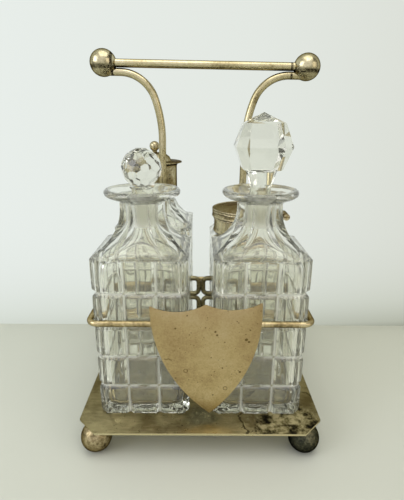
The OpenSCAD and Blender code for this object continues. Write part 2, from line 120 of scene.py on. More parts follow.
def add(tree, kind, inputs=None, **settings):
    """Adds one node, applies its settings, and sets or links each of its inputs."""
    node = tree.nodes.new(kind)
    for name, value in settings.items():
        setattr(node, name, value)
    for name, value in (inputs or {}).items():
        if isinstance(value, bpy.types.NodeSocket):
            tree.links.new(value, node.inputs[name])
        else:
            node.inputs[name].default_value = value
    return node


def maths(tree, operation, *values, clamp=False):
    """One Math node. Each value is a socket or a plain number."""
    inputs = dict(enumerate(values))
    return add(tree, "ShaderNodeMath", inputs, operation=operation, use_clamp=clamp).outputs[0]


def stretch(tree, value, start, end, top=1.0):
    """0 where value is at start, top where it is at end, and even between them."""
    limits = {"Value": value, "From Min": start, "From Max": end, "To Max": top}
    return add(tree, "ShaderNodeMapRange", limits).outputs["Result"]


def axis(tree, place, name):
    """The X, Y or Z of a vector."""
    return add(tree, "ShaderNodeSeparateXYZ", {"Vector": place}).outputs[name]


def blend(tree, share, first, second):
    """Mixes two colours by share."""
    return add(tree, "ShaderNodeMix", {0: share, 6: first, 7: second}, data_type="RGBA").outputs[2]


def ramp(tree, source, stops):
    """A colour ramp through (place, colour) stops, fed by source. A colour may be a screen colour."""
    node = add(tree, "ShaderNodeValToRGB", {"Fac": source})
    points = node.color_ramp.elements
    while len(points) < len(stops):
        points.new(0.5)
    for point, (place, colour) in zip(points, stops):
        point.position = place
        point.color = paint(colour) if isinstance(colour, str) else colour
    return node.outputs["Color"]


def new_material(name):
    """A material with an empty tree and its output node."""
    material = bpy.data.materials.new(name)
    material.use_nodes = True
    material.node_tree.nodes.clear()
    return material, material.node_tree, material.node_tree.nodes.new("ShaderNodeOutputMaterial")


def finish(tree, output, shader):
    """Joins a shader node to the output."""
    tree.links.new(shader.outputs[0], output.inputs["Surface"])


print("a mid grey in linear light:", [round(c, 3) for c in paint("#808080")[:3]])


# %% [markdown]
# ## Floor, wall and light
# The stand is on a pale table before a pale wall. Lamps alone would leave the wall uneven, so
# what the camera and the glass see of it comes from an emission that only camera, glossy and
# transmission rays meet. That emission holds painted light and shade: brighter towards the
# window on the left, and painted shade just above the table and towards the right. The room
# is lit by large soft lamps, so metal shows broad bands.

# %% Floor and wall
def either(tree, path, *rays):
    """1 on any of the named kinds of ray."""
    seen = path.outputs[rays[0]]
    for ray in rays[1:]:
        seen = maths(tree, "MAXIMUM", seen, path.outputs[ray])
    return seen


def wall_paint_and_painted_light():
    """Matt wall paint, with painted light from the window on the left and painted shade above the table."""
    material, tree, output = new_material("pale_wall_with_painted_light")
    place = add(tree, "ShaderNodeTexCoord").outputs["Object"]
    across = stretch(tree, axis(tree, place, "X"), -0.3, 0.32)
    up = stretch(tree, axis(tree, place, "Z"), 0.0, 0.34)
    # painted light: the wall is brightest near the window on the left and darker to the right
    painted_window_light = ramp(tree, across, [(0, "#E9EFEB"), (0.6, "#E3E8E2"), (1, "#D9DCD3")])
    # painted shade: the wall dims just above the table, most on the right
    shade_towards_right = add(tree, "ShaderNodeMapRange", {"Value": across, "To Min": 0.55}).outputs["Result"]
    low = maths(tree, "POWER", maths(tree, "SUBTRACT", 1.0, up), 6.0)
    dim = maths(tree, "MULTIPLY", low, shade_towards_right)
    painted_shade_tone = ramp(tree, dim, [(0, "#FFFFFF"), (0.45, "#EDEEE9"), (0.85, "#D4D5CC"), (1, "#B9BAB0")])
    colour = add(tree, "ShaderNodeMix", {0: 1.0, 6: painted_window_light, 7: painted_shade_tone}, data_type="RGBA",
                 blend_type="MULTIPLY").outputs[2]
    matt = add(tree, "ShaderNodeBsdfDiffuse", {"Color": colour})
    glow = add(tree, "ShaderNodeEmission", {"Color": colour, "Strength": 1.0})
    path = add(tree, "ShaderNodeLightPath")
    seen = either(tree, path, "Is Camera Ray", "Is Glossy Ray", "Is Transmission Ray")
    front = add(tree, "ShaderNodeMixShader", {0: seen, 1: matt.outputs[0], 2: glow.outputs[0]})
    behind = add(tree, "ShaderNodeNewGeometry").outputs["Backfacing"]
    clear = add(tree, "ShaderNodeBsdfTransparent")
    finish(tree, output, add(tree, "ShaderNodeMixShader", {
        0: behind, 1: front.outputs[0], 2: clear.outputs[0]}))
    return material


def table_paint():
    """Pale satin paint."""
    material, tree, output = new_material("pale_table")
    finish(tree, output, add(tree, "ShaderNodeBsdfPrincipled", {
        "Base Color": paint("#C7C8BE"), "Roughness": 0.6, "Specular IOR Level": 0.2}))
    return material


def stage_sheet(name, corners, material):
    """A flat stage piece from four corners in metres."""
    mesh = bpy.data.meshes.new(name)
    mesh.from_pydata(corners, [], [(0, 1, 2, 3)])
    mesh.materials.append(material)
    in_scene(name, mesh)


wall_y = 0.1285
reach = 3
stage_sheet("table", [(-reach, -reach, 0), (reach, -reach, 0), (reach, reach, 0),
                      (-reach, reach, 0)], table_paint())
stage_sheet("wall", [(-reach, wall_y, 0), (reach, wall_y, 0), (reach, wall_y, reach),
                     (-reach, wall_y, reach)], wall_paint_and_painted_light())
print("wall behind the stand in mm:", wall_y / MM)


# %% The room round the stand
def room_world(towards_window):
    """Plain for diffuse light, light and dark sides in metal, and a softer copy of them in glass."""
    world = bpy.data.worlds.new("room")
    world.use_nodes = True
    tree = world.node_tree
    tree.nodes.clear()
    heading = add(tree, "ShaderNodeTexCoord").outputs["Generated"]
    facing = add(tree, "ShaderNodeVectorMath", {0: heading, 1: towards_window}, operation="DOT_PRODUCT")
    side = facing.outputs["Value"]
    in_metal = ramp(tree, side, [(0.0, "#7E7C70"), (0.35, "#6A695E"), (0.62, "#BDBCB2"), (0.8, "#FFFFFF")])
    in_glass = ramp(tree, side, [(0.0, "#84847A"), (0.3, "#A6A69A"), (0.7, "#E0E0D8"), (0.9, "#FFFFFF")])
    plain, metal, glass = (
        add(tree, "ShaderNodeBackground", {"Color": colour, "Strength": strength}).outputs[0]
        for colour, strength in ((paint("#E8EAE6"), 0.8), (in_metal, 1.0), (in_glass, 1.0)))
    path = add(tree, "ShaderNodeLightPath")
    shine = add(tree, "ShaderNodeMixShader", {0: path.outputs["Is Glossy Ray"], 1: plain, 2: metal})
    through = either(tree, path, "Is Camera Ray", "Is Transmission Ray")
    whole = add(tree, "ShaderNodeMixShader", {0: through, 1: shine.outputs[0], 2: glass})
    finish(tree, tree.nodes.new("ShaderNodeOutputWorld"), whole)
    return world


def soft_lamp(name, place, size, watts, colour):
    """A square area lamp that looks at the middle of the stand."""
    lamp_data = bpy.data.lights.new(name, "AREA")
    lamp_data.size = size
    lamp_data.energy = watts
    lamp_data.color = paint(colour)[:3]
    lamp = in_scene(name, lamp_data)
    lamp.location = place
    lamp.rotation_euler = (Vector((0, 0, 0.15)) - Vector(place)).to_track_quat("-Z", "Y").to_euler()


scene.world = room_world((-0.28, -0.84, 0.46))
soft_lamp("ceiling", (0.1, -0.3, 1.5), 1.2, 9, "#FFFDF6")
soft_lamp("window", (-1.3, -0.7, 0.9), 0.9, 8, "#F4F8FF")
soft_lamp("room_fill", (1.3, -0.9, 0.7), 1.0, 4, "#FFF6E8")
scene.view_settings.view_transform = "Standard"
scene.cycles.max_bounces = 24
scene.cycles.transmission_bounces = 24
scene.cycles.transparent_max_bounces = 16


# %% [markdown]
# ## The metal finishes
# The frame is nickel brass with silver plate that has worn thin. Rubbed places are pale
# champagne, still places keep an olive tarnish, and moisture has eaten the tray's front
# right corner brown and black. Metal has no diffuse colour of its own, so the tint goes in
# the base colour with Metallic at 1, and the roughness follows the tarnish.

# %% Metal helpers
edge_tint = paint("#4E4636")


def object_place(tree):
    """Object coordinates, which are metres in the frame because every piece sits at the origin."""
    return add(tree, "ShaderNodeTexCoord").outputs["Object"]


def speckle(tree, place, size_mm, detail=4.0, rough=0.55):
    """Cloudy noise whose blotches are about size_mm across."""
    return add(tree, "ShaderNodeTexNoise", {"Vector": place, "Scale": 1 / (size_mm * MM), "Detail": detail,
                                            "Roughness": rough}).outputs["Fac"]


def mixture(tree, first, second, share):
    """Two patterns added, with share of the first and the rest of the second."""
    rest = maths(tree, "MULTIPLY", second, 1 - share)
    return maths(tree, "ADD", maths(tree, "MULTIPLY", first, share), rest)


def away_from(tree, place, centre_mm):
    """The distance from a point that is given in millimetres."""
    centre = tuple(c * MM for c in centre_mm)
    return add(tree, "ShaderNodeVectorMath", {0: place, 1: centre}, operation="DISTANCE").outputs["Value"]


def spot(tree, place, centre_mm, radius_mm, soft_mm):
    """1 inside a ball of radius_mm, fading over soft_mm."""
    return stretch(tree, away_from(tree, place, centre_mm), (radius_mm + soft_mm) * MM, radius_mm * MM)


def away_along(tree, value, middle_mm):
    """How far a coordinate is from a value in millimetres."""
    return maths(tree, "ABSOLUTE", maths(tree, "SUBTRACT", value, middle_mm * MM))


def finish_metal(tree, output, colour, roughness, height, depth_mm):
    """Joins colour, roughness and a height pattern to a metal shader that darkens at its edges."""
    bump = add(tree, "ShaderNodeBump", {"Height": height, "Strength": 1.0, "Distance": depth_mm * MM})
    finish(tree, output, add(tree, "ShaderNodeBsdfPrincipled", {
        "Base Color": colour, "Roughness": roughness, "Normal": bump.outputs["Normal"],
        "Metallic": 1.0, "Specular Tint": edge_tint}))


print("the tint at a metal's edge:", [round(c, 3) for c in edge_tint[:3]])


# %% Worn plate, the finish of tubes, rails and balls
seam_z_mm = 320.9
seam_starts_mm = 58
ball_joint_mm = 78.2
handle_slope = tan(radians(0.8))


def solder_seams(tree, place, fine):
    """1 on the dark crust where the handle's bar, arms and balls are soldered together."""
    x = axis(tree, place, "X")
    aside = maths(tree, "ABSOLUTE", x)
    level = maths(tree, "MULTIPLY_ADD", x, handle_slope, axis(tree, place, "Z"))
    close = stretch(tree, away_along(tree, level, seam_z_mm), 2.4 * MM, 0.9 * MM)
    along = stretch(tree, aside, seam_starts_mm * MM, (seam_starts_mm + 10) * MM)
    ring = maths(tree, "COMPARE", aside, ball_joint_mm * MM, 1.0 * MM)
    both = maths(tree, "MAXIMUM", maths(tree, "MULTIPLY", close, along), ring)
    crust = maths(tree, "MULTIPLY_ADD", fine, 2.4, -0.4, clamp=True)
    return maths(tree, "MULTIPLY", both, crust, clamp=True)


def worn_plate_with_painted_shade(name, tones, tarnish, rough, under=0.55, seams=False, shade_lines_mm=(), dots_mm=()):
    """Plate in three tones, dark to bright, over a span of tarnish. Undersides get painted shade, and dark
    lines at given heights are painted shade in joints and grooves.
    """
    material, tree, output = new_material(name)
    place = object_place(tree)
    fine = speckle(tree, place, 2.2, 6.0, 0.65)
    both = mixture(tree, speckle(tree, place, 22, 5.0), fine, 0.62)
    low, high = tarnish
    colour = ramp(tree, both, [(low, tones[0]), ((low + high) / 2, tones[1]), (high, tones[2])])
    facing = axis(tree, add(tree, "ShaderNodeTexCoord").outputs["Normal"], "Z")
    # painted shade: faces that point down are blended towards the dark tone, by the share given as under
    colour = blend(tree, stretch(tree, facing, -0.35, -0.9, under), colour, paint(tones[0]))
    if seams:
        colour = blend(tree, solder_seams(tree, place, fine), colour, paint("#2B2418"))
    # painted shade: a dark line round the piece at each given height, where a joint or groove lies in shade
    for shade_line_mm, width_mm in shade_lines_mm:
        from_shade_line = away_along(tree, axis(tree, place, "Z"), shade_line_mm)
        line = stretch(tree, from_shade_line, width_mm * MM, width_mm * 0.4 * MM, 0.85)
        colour = blend(tree, line, colour, paint("#2E2516"))
    for dot_mm in dots_mm:
        colour = blend(tree, spot(tree, place, dot_mm, 0.6, 0.5), colour, paint("#1F1B12"))
    roughness = ramp(tree, both, [(low, grey(rough[1])), (high, grey(rough[0]))])
    grain = maths(tree, "MULTIPLY", speckle(tree, place, 0.9, 3.0), 0.4)
    finish_metal(tree, output, colour, roughness, maths(tree, "ADD", grain, fine), 0.05)
    return material


tube_plate = worn_plate_with_painted_shade("worn_silver_plate_shaded_below", ("#80734F", "#BDB18A", "#D6CBAA"), (0.3, 0.62), (0.2, 0.36),
                        0.75, True)
rail_plate = worn_plate_with_painted_shade("worn_rail_plate_shaded_below", ("#5E5236", "#AD9B72", "#D6C7A0"), (0.36, 0.60), (0.22, 0.45))
ball_plate = worn_plate_with_painted_shade("worn_ball_plate_shaded_below", ("#6A614A", "#AEA482", "#D3C9A8"), (0.32, 0.62), (0.2, 0.4),
                        0.35, True)
foot_plate = worn_plate_with_painted_shade("mottled_foot_plate_shaded_below", ("#362E1E", "#958664", "#CDBE98"), (0.4, 0.6), (0.24, 0.5))
dark_foot_plate = worn_plate_with_painted_shade("blackened_foot_plate_shaded_below", ("#1B1E1D", "#4A4A3C", "#8A8468"), (0.42, 0.68),
                             (0.34, 0.6))
# painted shade: the near-black tone and the strong darkening of undersides stand in for the shade between
# the rows; the rest is tarnish
divider_plate = worn_plate_with_painted_shade("tarnished_divider_with_painted_shade", ("#2E2C20", "#857C5E", "#B5AD8C"), (0.38, 0.62),
                           (0.34, 0.55), 0.9)
# painted shade lines on the jar: at the collar's base, under the lid, in the lid's groove and under its top
# edge
collar_plate = worn_plate_with_painted_shade("gilt_brown_collar_with_painted_shade", ("#6B5A3C", "#C3B391", "#EADFC2"), (0.34, 0.56), (0.2, 0.4),
                          shade_lines_mm=[(162.4, 0.9), (178.9, 0.7), (184.25, 0.4), (186.7, 0.35)])
# painted shade lines on the caster's cap at two heights
cap_plate = worn_plate_with_painted_shade("worn_cap_plate_with_painted_shade", ("#564B34", "#A99C7A", "#D6CCAB"), (0.36, 0.60), (0.22, 0.42),
                       shade_lines_mm=[(209.6, 0.6), (234.6, 0.9)],
                       dots_mm=[(-32.8, 33.7, 224.9), (-32.8, 33.7, 221.1)])
brass = worn_plate_with_painted_shade("dull_brass_shaded_below", ("#5C4C2A", "#A08A54", "#CDB67E"), (0.34, 0.6), (0.3, 0.5))
print("plates:", [m.name for m in bpy.data.materials if m.name.startswith("worn")])


# %% The tray: flat plate with stains, a tide line, a corroded corner and a patch of painted shade
shield_shade_mm = (2, -92, 28)
rot_mm = (74, -95, 27)
tide_mm = (78, -93, 28)


def tray_rot(tree, place, fine, broad):
    """1 where the corner is eaten, with a ragged border."""
    rot = maths(tree, "ADD", spot(tree, place, rot_mm, 8, 34), maths(tree, "MULTIPLY", fine, 1.5))
    rot = maths(tree, "ADD", rot, maths(tree, "MULTIPLY", broad, 0.9))
    return stretch(tree, rot, 1.46, 1.7)


def tray_plate():
    """Tarnished sheet with faint lines along its width, stains, and a dark patch of painted shade by the
    shield's tip. The stains sit at their real places.
    """
    material, tree, output = new_material("stained_tray_plate")
    place = object_place(tree)
    broad = speckle(tree, place, 30, 5.0)
    fine = speckle(tree, place, 3.0, 7.0, 0.7)
    drawn_out = add(tree, "ShaderNodeVectorMath", {0: place, 1: (0.22, 1.0, 1.0)},
                    operation="MULTIPLY").outputs[0]
    both = mixture(tree, broad, speckle(tree, drawn_out, 2.4, 6.0, 0.65), 0.72)
    colour = ramp(tree, both, [(0.38, "#675C3F"), (0.5, "#8A7F5C"), (0.62, "#A3976F")])
    # painted shade: a dark greenish patch just behind the shield's tip, for the shade and dark reflection of
    # the gap there
    shield_shade = maths(tree, "MULTIPLY", spot(tree, place, shield_shade_mm, 9, 10), fine, clamp=True)
    colour = blend(tree, shield_shade, colour, paint("#3C4036"))
    rot = tray_rot(tree, place, fine, broad)
    crust = ramp(tree, speckle(tree, place, 8, 6.0, 0.6),
                 [(0.36, "#1C1A12"), (0.44, "#4E472F"), (0.51, "#857C58"), (0.6, "#B5AB84")])
    colour = blend(tree, rot, colour, crust)
    wavy = maths(tree, "MULTIPLY_ADD", speckle(tree, place, 14, 3.0), 0.016, away_from(tree, place, tide_mm))
    tide = maths(tree, "COMPARE", wavy, 0.050, 0.0007)
    colour = blend(tree, maths(tree, "MULTIPLY", tide, 0.8), colour, paint("#2E281A"))
    rim = stretch(tree, axis(tree, place, "Z"), 28.4 * MM, 28.1 * MM)
    colour = blend(tree, rim, colour, paint("#D9CDA6"))
    dull = maths(tree, "ADD", maths(tree, "MULTIPLY", rot, 0.35), maths(tree, "MULTIPLY", fine, 0.7),
                 clamp=True)
    roughness = maths(tree, "SUBTRACT", dull, maths(tree, "MULTIPLY", rim, 0.15), clamp=True)
    finish_metal(tree, output, colour, roughness, maths(tree, "MULTIPLY_ADD", rot, 2.0, fine), 0.08)
    return material


tray_material = tray_plate()
print("tray:", tray_material.name)


# %% The shield: warm champagne plate with a painted reflection gradient, finely pitted, with two small ring marks and a scratch
shield_y = -95.5
ring_marks_mm = [(-12.3, shield_y, 79.6), (21.0, shield_y, 62.5)]
scratch_mm = [(-29.7, 90.8), (-28.6, 90.3), (-27.5, 90.7), (-26.5, 91.0), (-25.5, 90.4), (-24.3, 89.9)]


def shield_marks(tree, place):
    """1 in the pits, the rings and the scratch."""
    marks = 0.0
    for cell_mm, pit_mm, crowd_mm in ((2.6, 0.5, 9), (5.5, 1.3, 20)):
        cells = add(tree, "ShaderNodeTexVoronoi", {"Vector": place, "Scale": 1 / (cell_mm * MM)})
        crowd = maths(tree, "SUBTRACT", speckle(tree, place, crowd_mm, 3.0), 0.42)
        size = maths(tree, "MULTIPLY", crowd, pit_mm / cell_mm * 4.2)
        marks = maths(tree, "MAXIMUM", marks, maths(tree, "LESS_THAN", cells.outputs["Distance"], size))
    for centre_mm in ring_marks_mm:
        ring = maths(tree, "SUBTRACT", spot(tree, place, centre_mm, 1.9, 0.15),
                     spot(tree, place, centre_mm, 1.4, 0.15))
        marks = maths(tree, "MAXIMUM", marks, ring)
    for x, z in scratch_mm:
        marks = maths(tree, "MAXIMUM", marks, spot(tree, place, (x, shield_y, z), 0.5, 0.4))
    return marks


def shield_plate():
    """Darker and redder towards its top, a painted reflection gradient, with a fine grain."""
    material, tree, output = new_material("pitted_shield_plate")
    place = object_place(tree)
    fine = speckle(tree, place, 1.4, 7.0, 0.75)
    both = mixture(tree, speckle(tree, place, 34, 3.0), fine, 0.5)
    colour = ramp(tree, both, [(0.36, "#AB9268"), (0.5, "#CFB988"), (0.64, "#E4D2A8")])
    # painted reflection: the plate turns darker and redder towards its top
    reflection_gradient = stretch(tree, axis(tree, place, "Z"), 50 * MM, 145 * MM)
    colour = blend(tree, maths(tree, "MULTIPLY", reflection_gradient, 0.62), colour, paint("#A08660"))
    marks = shield_marks(tree, place)
    colour = blend(tree, maths(tree, "MULTIPLY", marks, 0.8), colour, paint("#5C4826"))
    roughness = maths(tree, "MULTIPLY_ADD", fine, 0.26, 0.2)
    height = maths(tree, "SUBTRACT", maths(tree, "MULTIPLY", fine, 0.5), marks)
    finish_metal(tree, output, colour, roughness, height, 0.045)
    return material


shield_material = shield_plate()
print("shield:", shield_material.name)


# %% [markdown]
# ## The glass
# Old lead glass is clear with a faint warm cast. Its outside is polished with small ripples
# and light smears, the mitre cuts have lost some polish, and a plug and its bore are ground
# where they meet. Glass that stops lamplight would stand in its own black shadow, so shadow
# rays are let through with the glass's tint.

# %% Glass
def ground_zone(tree, place):
    """1 where a plug and its bore are ground together, near the axis of each decanter."""
    whole = add(tree, "ShaderNodeVectorMath", {0: place}, operation="ABSOLUTE").outputs[0]
    aside = [maths(tree, "POWER", maths(tree, "SUBTRACT", axis(tree, whole, name), pitch_mm / 2 * MM), 2)
             for name in ("X", "Y")]
    near = maths(tree, "LESS_THAN", maths(tree, "SQRT", maths(tree, "ADD", *aside)), 10.4 * MM)
    above = maths(tree, "GREATER_THAN", axis(tree, whole, "Z"), 192 * MM)
    below = maths(tree, "LESS_THAN", axis(tree, whole, "Z"), 218.5 * MM)
    return maths(tree, "MULTIPLY", near, maths(tree, "MULTIPLY", above, below))


def clear_glass(name, tint, ior, ripple_mm, ripple_depth_mm, smear, shade, clear):
    """Glass with ripples, smears up to a roughness, and the share clear of it free of haze."""
    material, tree, output = new_material(name)
    place = object_place(tree)
    waves = speckle(tree, place, ripple_mm, 2.0, 0.4)
    bump = add(tree, "ShaderNodeBump", {"Height": waves, "Strength": 1.0, "Distance": ripple_depth_mm * MM})
    smears = ramp(tree, speckle(tree, place, 9, 6.0, 0.7), [(0.5, grey(0.0)), (0.78, grey(smear))])
    roughness = maths(tree, "MAXIMUM", smears, maths(tree, "MULTIPLY", ground_zone(tree, place), 0.42))
    cut = add(tree, "ShaderNodeAttribute", attribute_name="cut").outputs["Fac"]
    roughness = maths(tree, "MAXIMUM", roughness, maths(tree, "MULTIPLY", cut, 0.2))
    shader = add(tree, "ShaderNodeBsdfPrincipled", {
        "Roughness": roughness, "Normal": bump.outputs["Normal"],
        "Transmission Weight": maths(tree, "MULTIPLY_ADD", cut, -0.42, clear),
        "Base Color": paint(tint), "Metallic": 0.0, "IOR": ior})
    through = add(tree, "ShaderNodeBsdfTransparent", {"Color": paint(shade)})
    shadow = add(tree, "ShaderNodeLightPath").outputs["Is Shadow Ray"]
    finish(tree, output, add(tree, "ShaderNodeMixShader", {
        0: shadow, 1: shader.outputs[0], 2: through.outputs[0]}))
    return material


pitch_mm = 98.6
cut_glass = clear_glass("polished_cut_glass", "#F5F5EE", 1.52, 16, 0.08, 0.05, "#EFEFE9", 0.975)
stopper_glass = clear_glass("faceted_stopper_glass", "#EDEDE4", 1.56, 12, 0.01, 0.02, "#EFF0EB", 0.96)
print("glass:", cut_glass.name, stopper_glass.name)


# %% [markdown]
# ## Block-cut glass bodies
# A real decanter of this kind is blown square, then mitre cuts are ground up and across each
# side, which leaves three by five pillowed blocks. Eight hollow flutes run from the shoulder
# up the neck. One closed surface is lofted here: up the outside, over the lip, down the
# bore and round the hollow. Its columns follow the cuts, so the edges stay crisp.

# %% Sizes read from the frame
def middle_of(node):
    """The centre of a node's box, with the height of its base, in millimetres."""
    low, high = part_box(node)
    return (low.x + high.x) / 2 / MM, (low.y + high.y) / 2 / MM, low.z / MM


def height_of(node):
    """The height of a node's box in millimetres."""
    low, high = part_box(node)
    return (high.z - low.z) / MM


half = (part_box("decanter_left")[1].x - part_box("decanter_left")[0].x) / 2 / MM
body_top = 145.0
neck_half = 18.2
cove_top = 180.0
corner_half = half * sqrt(2) - 3.75
block_pitch = 2 * half / 3
blocks_up = 5
groove_depth = 2.4
groove_half = 2.6
groove_round = 0.35
pillow_up, pillow_across = 0.5, 0.4
foot_round = 1.7
print("half width of a body in mm:", round(half, 2))


# %% Mitre cuts, coves and the columns that follow them
def groove(distance):
    """Depth of a mitre cut at a distance from its line, with a soft bottom and soft edges."""
    slope = groove_depth / groove_half
    depth = groove_depth + groove_round * slope - slope * np.sqrt(distance ** 2 + groove_round ** 2)
    return 0.5 * (depth + np.sqrt(depth ** 2 + 0.05))


def cove(z, far):
    """Distance from the axis of a circular cove that runs in from far at body_top to the neck."""
    across, up = far - neck_half, cove_top - body_top
    radius = (across ** 2 + up ** 2) / (2 * across)
    below = np.clip(cove_top - z, 0, radius * 0.9999)
    return neck_half + radius - sqrt(radius ** 2 - below ** 2)


near_groove = [-3.6, -2.9, -2.3, -1.5, -0.7, 0, 0.7, 1.5, 2.3, 2.9, 3.6]
inner_columns = [-block_pitch / 2 + step for step in near_groove] + [-6.0, -2.0, 2.0, 6.0]
inner_columns += [block_pitch / 2 + step for step in near_groove]
outer_shares = [0.16, 0.36, 0.56, 0.76, 0.9, 0.97, 1.0]
corner_shares = [-0.93, -0.75, -0.4, 0.0, 0.4, 0.75, 0.93]


def body_rows(top, pitch):
    """Heights for the rows of a body, close together at the cuts."""
    rows = [0.0, 0.25, 0.8, 1.7, 3.2]
    for number in range(1, blocks_up):
        rows += [number * pitch + step for step in near_groove]
    rows += [number * pitch + share * pitch for number in range(blocks_up) for share in (0.28, 0.5, 0.72)]
    return sorted(rows + [top - 3.0, top - 1.6, top - 0.7, top - 0.2])


print("columns on one face:", len(inner_columns) + 2 * len(outer_shares))


# %% One ring of the outside
def turned_point(x, y, angle):
    """A point turned about the axis."""
    return x * cos(angle) - y * sin(angle), x * sin(angle) + y * cos(angle)


def face_places(edge_y, widened):
    """The columns of one face, fitted to the width that the face has at this height."""
    places = [u * widened for u in inner_columns]
    start = places[-1]
    right = [start + (edge_y - start) * share for share in outer_shares]
    return [-y for y in right[::-1]] + places + right


def outer_ring(z, flat_half, flat_corner, hollow, top, pitch):
    """One ring of the outside, in millimetres from the axis. hollow is the depth of the flutes."""
    row_cut = 0.0
    if z < top:
        row_cut = max(groove(abs(z - number * pitch)) for number in range(1, blocks_up))
    fade = np.clip((top - z) / 1.5, 0, 1)
    pillow = np.clip((top - z) / 6, 0, 1)
    bow_up = pillow_up * ((z / pitch) % 1.0 * 2 - 1) ** 4 * pillow
    foot_in = foot_round * max(0.0, 1 - z / foot_round) ** 2.5
    flat_half = flat_half - foot_in
    flat_corner = flat_corner - foot_in - row_cut * 1.05 * fade - bow_up * 1.3
    face_cut = row_cut * fade
    edge_x = flat_half - face_cut - bow_up
    edge_y = sqrt(2) * flat_corner - edge_x
    rest_y = sqrt(2) * corner_half - half
    places = face_places(edge_y, 1.0 if z < top else edge_y / rest_y)
    corner_x, corner_width = (edge_x + edge_y) / sqrt(2), (edge_x - edge_y) / sqrt(2)
    points = []
    for side in range(4):
        turn = side * pi / 2
        for y in places:
            column_cut = max(groove(abs(abs(y) - block_pitch / 2)), 0) * fade
            bow = pillow_across * (((y + half) / block_pitch) % 1.0 * 2 - 1) ** 4 * pillow
            towards_edge = np.clip((edge_y - abs(y)) / 2.0, 0, 1)
            cut = max(face_cut, column_cut * towards_edge)
            x = flat_half - cut - bow_up - bow * towards_edge - hollow * (1 - (y / edge_y) ** 2)
            points.append(turned_point(x, y, turn))
        for share in corner_shares:
            x = corner_x - hollow * (1 - share ** 2)
            points.append(turned_point(x, share * corner_width, turn + pi / 4))
    return np.array([(x, y, z) for x, y in points])


print("columns round a body:", len(outer_ring(50, half, corner_half, 0, body_top, body_top / blocks_up)))


# %% Round and square rings, and the loft
def round_ring(angles, radius, z):
    """A ring of the given radius at the columns' angles."""
    return np.stack([radius * np.cos(angles), radius * np.sin(angles), np.full(len(angles), z)], 1)


def square_ring(angles, radius, z, power):
    """A ring between a circle, at power 2, and a square with round corners, at 8."""
    spread = (np.abs(np.cos(angles)) ** power + np.abs(np.sin(angles)) ** power) ** (-1 / power)
    return round_ring(angles, radius * spread, z)


def ring_angles(ring):
    """The angle of each point of a ring about the axis."""
    return np.arctan2(ring[:, 1], ring[:, 0])


def settled(piece, body, node):
    """Says which body a piece rides on, which node it stands for."""
    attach(piece, body)
    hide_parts(node)
    return piece


def loft(name, rings, centre_mm, material):
    """Joins rings of equal count into one closed surface that is shut by a point at each end."""
    count = len(rings[0])
    points = [rings[0].mean(0)] + [p for ring in rings for p in ring] + [rings[-1].mean(0)]
    last = 1 + (len(rings) - 1) * count
    faces = [(0, 1 + (step + 1) % count, 1 + step) for step in range(count)]
    for low in range(1, last, count):
        for step in range(count):
            after = (step + 1) % count
            faces.append((low + step, low + after, low + count + after, low + count + step))
    faces += [(len(points) - 1, last + step, last + (step + 1) % count) for step in range(count)]
    mesh = bpy.data.meshes.new(name)
    placed = (np.array(points) + np.array(centre_mm)) * MM
    mesh.from_pydata([tuple(p) for p in placed], [], faces)
    mesh.polygons.foreach_set("use_smooth", [True] * len(mesh.polygons))
    mesh.materials.append(material)
    return in_scene(name, mesh)


def mark_cuts(piece, centre_mm, top, pitch):
    """Gives each point the attribute cut, 1 along the bottom of a mitre cut, where the polish is dull."""
    points = np.array([v.co for v in piece.data.vertices]) / MM - np.array(centre_mm)
    across = np.sort(np.abs(points[:, :2]), axis=1)
    height = points[:, 2]
    row = np.min([np.abs(height - number * pitch) for number in range(1, blocks_up)], axis=0)
    column = np.abs(across[:, 0] - block_pitch / 2)
    share = np.clip(1.15 - np.minimum(row, column) / 1.7, 0, 1)
    on_face = (across.sum(1) > half) & (across[:, 1] > half - 3.2)
    on_corner = across.sum(1) > corner_half * sqrt(2) - 4.5
    share[~(on_face | on_corner) | (height > top - 1)] = 0
    piece.data.attributes.new("cut", "FLOAT", "POINT").data.foreach_set("value", share)


print("loft helpers ready for", blocks_up, "rows of blocks")


# %% The hollow, the fluted outside and the finish of a vessel
hollow_floor = [(100, 34.4, 9), (60, 34.4, 9), (20, 34.4, 9), (13, 34.2, 9), (9.6, 33.4, 8), (7.9, 31.4, 7),
                (7.0, 27, 6), (6.5, 18, 4), (6.4, 7, 3)]
hollow_shoulder = [(158.5, 14.8, 2.1), (155, 18.6, 2.3), (152, 22.4, 2.7), (149, 26.2, 3.3),
                   (146.5, 29.4, 4.2), (144, 31.8, 5.2), (141, 33.4, 6.5), (137, 34.2, 8), (130, 34.4, 9)]


def inner_hollow(angles, profile):
    """Rings of the inside, from (height, radius, squareness) rows."""
    return [square_ring(angles, radius, z, power) for z, radius, power in profile]


def fluted_body():
    """The rings of the outside, from the base up to the top of the neck's flutes."""
    pitch = body_top / blocks_up
    rings = [outer_ring(z, half, corner_half, 0.0, body_top, pitch) for z in body_rows(body_top, pitch)]
    for angle in [0, 2, 4, 7, 10, 14, 18, 22, 27, 32, 37, 42, 48, 54, 60, 67, 74, 82, 90]:
        z = body_top + (cove_top - body_top) * (1 - cos(radians(angle)))
        corner = min(cove(z, corner_half + 1.0), corner_half)
        hollow = 0.9 * sin(pi * (z - body_top) / (cove_top - body_top)) + 0.3 * angle / 90
        rings.append(outer_ring(z, cove(z, half), corner, hollow, body_top, pitch))
    return rings


def finished_vessel(node, rings, body, top=body_top, pitch=body_top / blocks_up):
    """Lofts the rings round a node's axis and marks the cuts."""
    centre_mm = middle_of(node)
    piece = loft(node + "_cut_glass", rings, centre_mm, cut_glass)
    mark_cuts(piece, centre_mm, top, pitch)
    print(piece.name, "faces:", len(piece.data.polygons))
    settled(piece, body, node)


print("deepest point of the hollow above the base in mm:", hollow_floor[-1][0])


